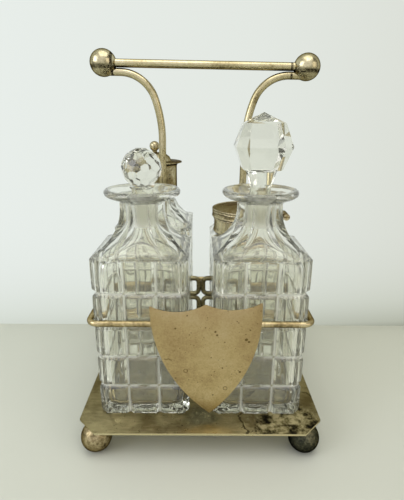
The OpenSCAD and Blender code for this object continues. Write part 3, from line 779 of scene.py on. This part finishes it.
# %% Decanters
def decanter(node, body):
    """A decanter with a spread lip, a ground bore and a rounded hollow."""
    top = height_of(node)
    rings = fluted_body()
    neck = rings[-1]
    angles = ring_angles(neck)
    for z, share, radius in [(183.2, 0.0, 0), (184.6, 0.35, 19.6), (185.8, 0.8, 20.6), (186.8, 1.0, 22.4)]:
        level = neck * (1 - share) + round_ring(angles, radius, 0) * share
        level[:, 2] = z
        rings.append(level)
    lip = [(25.0, 187.9), (28.0, 189.0), (30.2, 190.2), (31.3, 191.3), (31.75, 192.6), (31.75, 193.8),
           (31.3, 194.9), (30.3, top - 0.25), (29.2, top), (27.8, top - 0.3), (24.0, top - 1.6),
           (19.0, top - 3.4), (14.0, top - 5.0), (11.0, top - 5.9), (9.8, top - 6.6), (9.2, top - 7.6)]
    rings += [round_ring(angles, radius, z) for radius, z in lip]
    bore = [(top - 16, 8.9, 2), (top - 25, 8.7, 2), (168, 8.8, 2), (165, 9.7, 2), (162, 11.6, 2)]
    rings += inner_hollow(angles, bore + hollow_shoulder + hollow_floor)
    finished_vessel(node, rings, body)


decanter("decanter_left", "left_decanter")
decanter("decanter_right", "right_decanter")


# %% Caster bottle and jar
def caster_bottle():
    """The square bottle behind on the left, with a plain round neck for its collar."""
    top = height_of("caster_bottle")
    rings = fluted_body()
    angles = ring_angles(rings[-1])
    neck = [(neck_half, cove_top + 1.2), (neck_half, top - 1.2), (neck_half - 0.5, top - 0.3),
            (neck_half - 1.4, top), (14.4, top), (13.5, top - 0.4), (13.0, top - 1.4), (13.0, 190),
            (13.0, 176), (13.0, 166)]
    rings += [round_ring(angles, radius, z) for radius, z in neck]
    rings += inner_hollow(angles, [(162, 13.1, 2)] + hollow_shoulder + hollow_floor)
    finished_vessel("caster_bottle", rings, "caster")


def jar_body():
    """The square jar behind on the right, with a short bevelled shoulder and a wide mouth."""
    rim = height_of("jar_glass")
    jar_shoulder = 133.0
    blocks_top = jar_shoulder - 6
    pitch = jar_shoulder / blocks_up
    rings = [outer_ring(z, half, corner_half, 0.0, blocks_top, pitch) for z in body_rows(blocks_top, pitch)]
    for drop, inset in ((6.0, 0.0), (5.2, 0.3), (0.9, 4.9), (0.3, 5.6), (0.0, 6.4)):
        z = jar_shoulder - drop
        rings.append(outer_ring(z, half - inset, corner_half - inset, 0.0, blocks_top, pitch))
    angles = ring_angles(rings[-1])
    mouth, wall = 33.5, 4.5
    bore = mouth - wall
    neck = [(mouth, jar_shoulder + 0.3), (mouth, rim - 1.2), (mouth - 0.4, rim - 0.3), (mouth - 1.3, rim),
            (bore + 1.2, rim), (bore + 0.3, rim - 0.4), (bore, rim - 1.3), (bore, jar_shoulder - 1)]
    rings += [round_ring(angles, radius, z) for radius, z in neck]
    shoulder = [(129, 29.3, 2.3), (126.5, 31.0, 3.2), (123, 32.6, 5), (118, 33.8, 7)]
    rings += inner_hollow(angles, shoulder + hollow_floor)
    finished_vessel("jar_glass", rings, "jar", blocks_top, pitch)


caster_bottle()
jar_body()


# %% [markdown]
# ## Softened solids
# Several pieces already have the right form in the frame. A real edge is never razor sharp:
# cut facets are polished and sheet edges are worn. So a copy of each solid is merged, its
# flat faces are joined, and its sharp edges get a narrow bevel.

# %% Bevelled copies
same_point = 0.002 * MM


def shaded(work, name, material, sharp_deg=24):
    """An object from a bmesh, smooth but for the edges that turn by more than sharp_deg."""
    bmesh.ops.triangulate(work, faces=[f for f in work.faces if len(f.verts) > 4])
    mesh = bpy.data.meshes.new(name)
    work.to_mesh(mesh)
    work.free()
    mesh.polygons.foreach_set("use_smooth", [True] * len(mesh.polygons))
    mesh.set_sharp_from_angle(angle=radians(sharp_deg))
    mesh.materials.clear()
    mesh.materials.append(material)
    return in_scene(name, mesh)


def sharp_edges(work, degrees):
    """The edges at which two faces meet at more than the given angle."""
    return [e for e in work.edges if len(e.link_faces) == 2 and e.calc_face_angle(0) > radians(degrees)]


def softened(node, name, body, material, width_mm):
    """A copy of a node's solid with bevelled edges, which replaces the node."""
    work = bmesh.new()
    work.from_mesh(nodes[node].data)
    bmesh.ops.remove_doubles(work, verts=work.verts, dist=same_point)
    bmesh.ops.dissolve_limit(work, angle_limit=radians(0.6), verts=work.verts, edges=work.edges)
    bmesh.ops.recalc_face_normals(work, faces=work.faces)
    bmesh.ops.bevel(work, geom=sharp_edges(work, 24), offset=width_mm * MM, segments=2, profile=0.5,
                    affect="EDGES", clamp_overlap=True, loop_slide=True)
    settled(shaded(work, name, material), body, node)


print("points closer than this many mm are merged:", same_point / MM)


# %% [markdown]
# ## Faceted stoppers
# A stopper's head is ground flat face by flat face on a wheel. Here each wheel pass is a plane
# that takes everything outside it off a block. The large head is a square with its corners
# taken off, under a low pyramid. The small one is a ball of six rings of ten facets.

# %% Cutting by planes and joining
def cut_off(work, point, outward):
    """Removes what lies outside a plane and closes the hole."""
    everything = work.verts[:] + work.edges[:] + work.faces[:]
    bmesh.ops.bisect_plane(work, geom=everything, plane_co=point, plane_no=outward, clear_outer=True,
                           dist=1e-7)
    rim = [edge for edge in work.edges if edge.is_boundary]
    if rim:
        bmesh.ops.holes_fill(work, edges=rim, sides=0)


def as_object(work, name, centre_mm=(0, 0, 0), scale=MM):
    """Turns a bmesh into an object at its place."""
    bmesh.ops.recalc_face_normals(work, faces=work.faces)
    for vert in work.verts:
        vert.co = (vert.co + Vector(centre_mm)) * scale
    mesh = bpy.data.meshes.new(name)
    work.to_mesh(mesh)
    work.free()
    return in_scene(name, mesh)


def ground(name, passes, centre_mm, bevel_mm, block_mm=80):
    """A block cut by planes, each given by azimuth and elevation in degrees and its distance in mm."""
    work = bmesh.new()
    bmesh.ops.create_cube(work, size=block_mm)
    for azimuth, elevation, distance in passes:
        a, e = radians(azimuth), radians(elevation)
        outward = Vector((cos(e) * cos(a), cos(e) * sin(a), sin(e)))
        cut_off(work, outward * distance, outward)
    bmesh.ops.bevel(work, geom=sharp_edges(work, 8), offset=bevel_mm, segments=1, affect="EDGES",
                    clamp_overlap=True)
    return as_object(work, name, centre_mm)


def part_of(node, point_mm, outward):
    """The part of a node's solid on the inner side of a plane."""
    work = bmesh.new()
    work.from_mesh(nodes[node].data)
    bmesh.ops.remove_doubles(work, verts=work.verts, dist=same_point)
    cut_off(work, Vector(point_mm) * MM, Vector(outward))
    return as_object(work, node + "_part", scale=1)


def evaluated_mesh(thing):
    """The mesh of an object after its modifiers."""
    bpy.context.view_layer.update()
    return bpy.data.meshes.new_from_object(thing.evaluated_get(bpy.context.evaluated_depsgraph_get()))


def joined(name, pieces, material, body, node, sharp_deg=24):
    """One closed solid from overlapping pieces, which replaces node."""
    for other in pieces[1:]:
        modifier = pieces[0].modifiers.new("join", "BOOLEAN")
        modifier.operation = "UNION"
        modifier.solver = "EXACT"
        modifier.object = other
    work = bmesh.new()
    work.from_mesh(evaluated_mesh(pieces[0]))
    for piece in pieces:
        bpy.data.objects.remove(piece)
    bmesh.ops.remove_doubles(work, verts=work.verts, dist=same_point / 2)
    whole = settled(shaded(work, name, material, sharp_deg), body, node)
    print(name, "faces:", len(whole.data.polygons))


print("ready to grind and join")


# %% The two stoppers
facet_deg = 4.5


def large_stopper():
    """The square head on an eight-sided flaring stem, with the ground plug of the frame."""
    x, y, base = middle_of("decanter_right")
    lip = base + height_of("decanter_right")
    passes = []
    for broad in range(0, 360, 90):
        corner = broad + 45
        for azimuth, distance, up, down in ((broad, 22.4, 19, -20), (corner, 26.2, 22, -24)):
            for elevation in (up, down):
                passes.append((azimuth, elevation, distance * cos(radians(elevation))))
        passes += [(broad, 62.3, 23.2), (corner, 66.7, 24.06), (broad, -55, 23.4), (corner, -52, 25.4)]
    head = ground("head", passes + [(0, -90, 18.2)], (x, y, lip + 34.25), 0.12)
    sides = [(eighth * 45 + 22.5, -16, 10.0) for eighth in range(8)]
    stem = ground("stem", sides + [(0, 90, 9.0), (0, -90, 7.3)], (x, y, lip + 9.2), 0.2, 60)
    plug = part_of("stopper_right", (x, y, lip + 4.2), (0, 0, 1))
    joined("large_stopper", [head, stem, plug], stopper_glass, "right_stopper", "stopper_right",
           facet_deg)


def small_stopper():
    """The ball of facets, with the ground plug of the frame."""
    x, y, base = middle_of("decanter_left")
    lip = base + height_of("decanter_left")
    passes = [(0, 90, 15.9), (0, -90, 15.9)]
    for azimuth in range(0, 360, 36):
        for elevation, turn in ((12, 0), (-14, 18), (37, 18), (-40, 0), (62, 0), (-64, 18)):
            passes.append((azimuth + turn, elevation, 15.75))
    head = ground("ball", passes, (x, y, lip + 16.5), 0.08)
    plug = part_of("stopper_left", (x, y, lip + 1.6), (0, 0, 1))
    joined("small_stopper", [head, plug], stopper_glass, "left_stopper", "stopper_left",
           facet_deg)


large_stopper()
small_stopper()


# %% [markdown]
# ## Metal covers
# The jar's lid is a spun cap: an upright wall with one fine line round it, a rolled rim and an
# almost flat top. Its hinge knuckle and the leaf under it come from the frame, so the pin still
# fits. The caster's cap is a sleeve with a spread rim on a small hollow moulding, and a low dome.

# %% The jar's lid and the caster's cap
def turned(name, profile, centre_mm, material):
    """A closed surface turned from (radius, height) rows."""
    angles = np.linspace(0, 2 * pi, 120, endpoint=False)
    return loft(name, [round_ring(angles, radius, z) for radius, z in profile], centre_mm, material)


def jar_cover():
    """A turned cap joined to the hinge part of the frame's lid."""
    x, y, _ = middle_of("jar_glass")
    low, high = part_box("jar_lid")
    lid_base = high.z / MM - 9.4
    profile = [(7, 8.0), (30, 7.3), (33.1, 6.9), (33.5, 6.5), (33.5, 0.2), (33.6, 0.0), (37.1, 0.0),
               (37.4, 0.15), (37.5, 0.5), (37.5, 1.1), (37.38, 1.4), (37.05, 1.6), (37.05, 4.5), (37.2, 4.7),
               (37.0, 4.95), (36.75, 5.1), (37.0, 5.25), (37.2, 5.5), (37.05, 5.7), (37.05, 7.3),
               (37.3, 7.6), (37.35, 8.1), (37.1, 8.5), (36.6, 8.75), (36.0, 8.75), (35.5, 8.55),
               (35.2, 8.35), (34.8, 8.3), (33, 8.45), (26, 8.9), (16, 9.25), (6, 9.38)]
    cap = turned("cap", profile, (x, y, lid_base), collar_plate)
    hinge = part_of("jar_lid", (x + 36.4, y, low.z / MM), (-1, 0, 0))
    joined("jar_cover", [cap, hinge], collar_plate, "lid", "jar_lid")


def caster_cover():
    """The turned cap of the caster."""
    profile = [(4, 37.4), (11, 36.0), (15.0, 32.8), (16.0, 29.4), (20, 28.5), (21.5, 28.0), (21.8, 27.2),
               (21.8, 0.3), (22.0, 0.0), (22.8, 0.0), (23.0, 0.3), (23.0, 23.5), (23.2, 25.2), (24.0, 26.8),
               (25.4, 27.8), (27.6, 28.1), (28.2, 28.3), (28.4, 28.7), (28.3, 29.2), (27.7, 29.5),
               (24, 29.65), (17.8, 29.8), (17.1, 30.2), (16.8, 31.2), (15.4, 34.0), (12.2, 36.5),
               (7.5, 38.1), (3, 38.57)]
    piece = turned("caster_cover", profile, middle_of("caster_cap"), cap_plate)
    piece.data.set_sharp_from_angle(angle=radians(40))
    settled(piece, "caster_top", "caster_cap")


jar_cover()
caster_cover()


# %% Sheet, turned and cast metal
metal_pieces = [
    ("base_plate", "tray", "stand", tray_material, 0.4),
    ("shield", "shield_plate", "stand", shield_material, 0.5),
    ("foot_front_left", "front_left_foot", "stand", foot_plate, 0.3),
    ("foot_front_right", "front_right_foot", "stand", dark_foot_plate, 0.3),
    ("foot_back_left", "back_left_foot", "stand", foot_plate, 0.3),
    ("foot_back_right", "back_right_foot", "stand", dark_foot_plate, 0.3),
    ("upright_nuts", "lock_nuts", "stand", brass, 0.25),
    ("handle_ball_left", "left_ball", "stand", ball_plate, 0.3),
    ("handle_ball_right", "right_ball", "stand", ball_plate, 0.3),
    ("caster_collar", "caster_neck_ring", "caster", cap_plate, 0.15),
    ("caster_finial", "caster_knob", "caster_top", cap_plate, 0.2),
    ("jar_collar", "jar_band", "jar", collar_plate, 0.2),
    ("jar_hinge_pin", "hinge_pin", "jar", brass, 0.15),
]
for node, name, body, material, width_mm in metal_pieces:
    softened(node, name, body, material, width_mm)
print("softened pieces:", len(metal_pieces))


# %% [markdown]
# ## Tubes and wires
# The uprights, the handle bar, the rails and the divider are drawn tube and wire, bent cold and
# soldered. Each follows a centre line, so Geometry Nodes sweep a round section along it. The
# line's points carry a thickness, which narrows the tube to its stud and rounds its soldered
# ends. Hand-drawn tube is never quite even, so a slow noise moves its skin by a few hundredths.

# %% A node tree that sweeps a tube
def new_tree(name, *lengths):
    """A Geometry Nodes tree with the tube's inputs and any further lengths."""
    tree = bpy.data.node_groups.new(name, "GeometryNodeTree")
    tree.interface.new_socket("Geometry", in_out="INPUT", socket_type="NodeSocketGeometry")
    tree.interface.new_socket("Sides", in_out="INPUT", socket_type="NodeSocketInt")
    tree.interface.new_socket("Metal", in_out="INPUT", socket_type="NodeSocketMaterial")
    for label in ("Radius", "Unevenness", "Wave", "Seed") + lengths:
        tree.interface.new_socket(label, in_out="INPUT", socket_type="NodeSocketFloat")
    tree.interface.new_socket("Geometry", in_out="OUTPUT", socket_type="NodeSocketGeometry")
    return tree, add(tree, "NodeGroupInput").outputs, add(tree, "NodeGroupOutput")


def sweep_and_paint(tree, start, end, line):
    """The shared end of the trees: sweep, uneven skin, smooth shading and material."""
    section = add(tree, "GeometryNodeCurvePrimitiveCircle", {
        "Resolution": start["Sides"], "Radius": start["Radius"]})
    skin = add(tree, "GeometryNodeCurveToMesh", {
        "Curve": line, "Profile Curve": section.outputs["Curve"], "Fill Caps": True})
    noise = add(tree, "ShaderNodeTexNoise", {"W": start["Seed"], "Scale": start["Wave"], "Detail": 2.0},
                noise_dimensions="4D")
    swing = maths(tree, "SUBTRACT", noise.outputs[0], 0.5)
    depth = maths(tree, "MULTIPLY", swing, start["Unevenness"])
    outward = add(tree, "GeometryNodeInputNormal").outputs["Normal"]
    push = add(tree, "ShaderNodeVectorMath", {0: outward, "Scale": depth}, operation="SCALE")
    shape = add(tree, "GeometryNodeSetPosition", {
        "Geometry": skin.outputs["Mesh"], "Offset": push.outputs[0]})
    for kind in ("GeometryNodeSetShadeSmooth", "GeometryNodeRealizeInstances"):
        shape = add(tree, kind, {"Geometry": shape.outputs["Geometry"]})
    painted = add(tree, "GeometryNodeSetMaterial", {
        "Geometry": shape.outputs["Geometry"], "Material": start["Metal"]})
    tree.links.new(painted.outputs["Geometry"], end.inputs["Geometry"])


def tube_tree():
    """Sweeps along the edges of a mesh whose points carry the attribute thickness."""
    tree, start, end = new_tree("swept_tube")
    line = add(tree, "GeometryNodeMeshToCurve", {"Mesh": start["Geometry"]})
    share = add(tree, "GeometryNodeInputNamedAttribute", {"Name": "thickness"}, data_type="FLOAT")
    thick = add(tree, "GeometryNodeSetCurveRadius", {
        "Curve": line.outputs["Curve"], "Radius": share.outputs["Attribute"]})
    sweep_and_paint(tree, start, end, thick.outputs["Curve"])
    return tree


swept_tube = tube_tree()
print("tree:", swept_tube.name, "with", len(swept_tube.nodes), "nodes")


# %% Running a tree and keeping its mesh
def grown(name, node, tree, points_mm, edges, thickness, inputs):
    """Runs tree on a line or on points and keeps the result as a plain mesh, which replaces node."""
    seed_mesh = bpy.data.meshes.new(name + "_line")
    seed_mesh.from_pydata([tuple(c * MM for c in p) for p in points_mm], edges, [])
    seed_mesh.attributes.new("thickness", "FLOAT", "POINT").data.foreach_set("value", thickness)
    maker = in_scene(name + "_maker", seed_mesh)
    modifier = maker.modifiers.new("grow", "NODES")
    modifier.node_group = tree
    sockets = {item.name: item.identifier for item in tree.interface.items_tree if item.in_out == "INPUT"}
    for label, value in inputs.items():
        modifier[sockets[label]] = value
    mesh = evaluated_mesh(maker)
    mesh.name = name
    bpy.data.objects.remove(maker)
    settled(in_scene(name, mesh), "stand", node)
    print(name, "faces:", len(mesh.polygons), "material:", mesh.materials[0].name)


def tube(name, node, points_mm, thickness, radius_mm, metal, seed):
    """A tube along points_mm that replaces node."""
    edges = [(i, i + 1) for i in range(len(points_mm) - 1)]
    grown(name, node, swept_tube, points_mm, edges, thickness, {
        "Radius": radius_mm * MM, "Sides": 28, "Unevenness": 0.12 * MM, "Wave": 1 / (14 * MM), "Seed": seed,
        "Metal": metal})


print("tubes have 28 sides")


# %% The uprights and the bar
tray_low, tray_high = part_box("base_plate")
tray_top = tray_high.z / MM
stem_x = 38.0
stem_r = 3.3
stud_r = 2.0
bar_r = 3.55
lean = radians(0.8)
lean_z = 99.9
bend_h = 232.0
sweep_r, sweep_angle = 105.0, 20.0
elbow_r = 32.0
elbow_x = stem_x + sweep_r * (1 - cos(radians(sweep_angle)))
elbow_z = bend_h + sweep_r * sin(radians(sweep_angle))
arm_x = elbow_x + elbow_r * cos(radians(sweep_angle))
arm_z = elbow_z + elbow_r * (1 - sin(radians(sweep_angle)))
socket_x = 84.0


def tilted(x, z):
    """A point of the handle turned about the top of the divider, in the frame's millimetres."""
    up = z - lean_z
    height = tray_top + lean_z + up * cos(lean) - x * sin(lean)
    return x * cos(lean) + up * sin(lean), 0.0, height


def upright(name, node, side, seed):
    """Stud, straight tube, long sweep, elbow, and a level arm into the ball."""
    stud = [tray_low.z / MM - 4.2, tray_top - 0.02]
    straight = [tray_top] + [tray_top + lean_z * k / 8 for k in range(1, 9)]
    above = [(stem_x, lean_z + (bend_h - lean_z) * k / 10) for k in range(1, 11)]
    for k in range(1, 13):
        a = radians(sweep_angle * k / 12)
        above.append((stem_x + sweep_r * (1 - cos(a)), bend_h + sweep_r * sin(a)))
    for k in range(1, 25):
        a = radians(sweep_angle + (90 - sweep_angle) * k / 24)
        above.append((arm_x - elbow_r * cos(a), arm_z - elbow_r * (1 - sin(a))))
    above.append((socket_x, arm_z))
    points = [(side * stem_x, 0, z) for z in stud + straight] + [tilted(side * x, z) for x, z in above]
    thickness = [stud_r / stem_r] * len(stud) + [1.0] * (len(points) - len(stud))
    tube(name, node, points, thickness, stem_r, tube_plate, seed)


upright("right_upright", "upright_right", 1, 2.0)
upright("left_upright", "upright_left", -1, 5.0)
bar_z = arm_z + stem_r + bar_r + 0.3
bar_points = [tilted(-socket_x + 2 * socket_x * k / 40, bar_z) for k in range(41)]
tube("grip_bar", "handle_bar", bar_points, [1.0] * 41, bar_r, tube_plate, 9.0)


# %% The rails
def rail(name, node, facing, seed):
    """A wire from one upright round the front or back of its row to the other upright."""
    low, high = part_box(node)
    r = (high.z - low.z) / 2 / MM
    z = (high.z + low.z) / 2 / MM
    reach = high.x / MM - r
    bend = 11.0 - r
    inner = reach - bend
    near = -r - 0.4
    side_end = near - bend
    turns = [radians(a) for a in range(0, 91, 6)]
    corner = [(bend * sin(a), bend * (1 - cos(a))) for a in turns]
    half_line = [(inner * k / 12, -reach) for k in range(0, 12)]
    half_line += [(inner + dx, -reach + dy) for dx, dy in corner]
    half_line += [(reach, -inner + (side_end + inner) * k / 8) for k in range(1, 8)]
    half_line += [(reach - dy, side_end + dx) for dx, dy in corner]
    half_line += [(inner + (stem_x + 2.4 - inner) * k / 6, near) for k in range(1, 7)]
    rounding = [(1.4, 0.985), (0.4, 0.93), (-0.5, 0.8), (-1.2, 0.6), (-1.6, 0.36), (-1.8, 0.06)]
    half_line += [(stem_x + dx, near) for dx, _ in rounding]
    line = [(-x, y) for x, y in half_line[:0:-1]] + half_line
    shares = [1.0] * len(line)
    for number, (_, share) in enumerate(rounding[::-1]):
        shares[number] = shares[-1 - number] = share
    tube(name, node, [(x, y * facing, z) for x, y in line], shares, r, rail_plate, seed)


rail("front_wire", "front_rail", 1, 3.0)
rail("back_wire", "back_rail", -1, 4.0)


# %% [markdown]
# ## The divider
# Four equal loops of wire, two above two, stand between the front and the back row and are
# soldered to each other and to the uprights. One loop repeats, so a second tree puts a rounded
# rectangle on each of four points and then sweeps them all.

# %% Four loops of wire
def loops_tree():
    """Puts a rounded rectangle on each point and sweeps it."""
    tree, start, end = new_tree("wire_loops", "Width", "Height", "Corner")
    square = add(tree, "GeometryNodeCurvePrimitiveQuadrilateral", {
        "Width": start["Width"], "Height": start["Height"]})
    rounded = add(tree, "GeometryNodeFilletCurve", {
        "Curve": square.outputs["Curve"], "Radius": start["Corner"], "Count": 8}, mode="POLY")
    upright_loop = add(tree, "GeometryNodeTransform", {
        "Geometry": rounded.outputs["Curve"], "Rotation": (pi / 2, 0, 0)})
    copies = add(tree, "GeometryNodeInstanceOnPoints", {
        "Points": start["Geometry"], "Instance": upright_loop.outputs["Geometry"]})
    lines = add(tree, "GeometryNodeRealizeInstances", {"Geometry": copies.outputs["Instances"]})
    sweep_and_paint(tree, start, end, lines.outputs["Geometry"])
    return tree


def divider():
    """The four loops, placed by the box of the divider's node."""
    low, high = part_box("row_divider")
    wire_r = 2.35
    middle_z = (low.z + high.z) / 2 / MM
    inner_line = wire_r - 0.1
    outer_x = high.x / MM - wire_r
    outer_z = (high.z - low.z) / 2 / MM - wire_r
    centres = [(sx * (outer_x + inner_line) / 2, 0, middle_z + sz * (outer_z + inner_line) / 2)
               for sx in (-1, 1) for sz in (-1, 1)]
    grown("divider_loops", "row_divider", loops_tree(), centres, [], [1.0] * 4, {
        "Radius": wire_r * MM, "Sides": 22, "Unevenness": 0.15 * MM, "Wave": 1 / (9 * MM), "Seed": 6.0,
        "Metal": divider_plate, "Width": (outer_x - inner_line) * MM, "Height": (outer_z - inner_line) * MM,
        "Corner": 4.8 * MM})


divider()
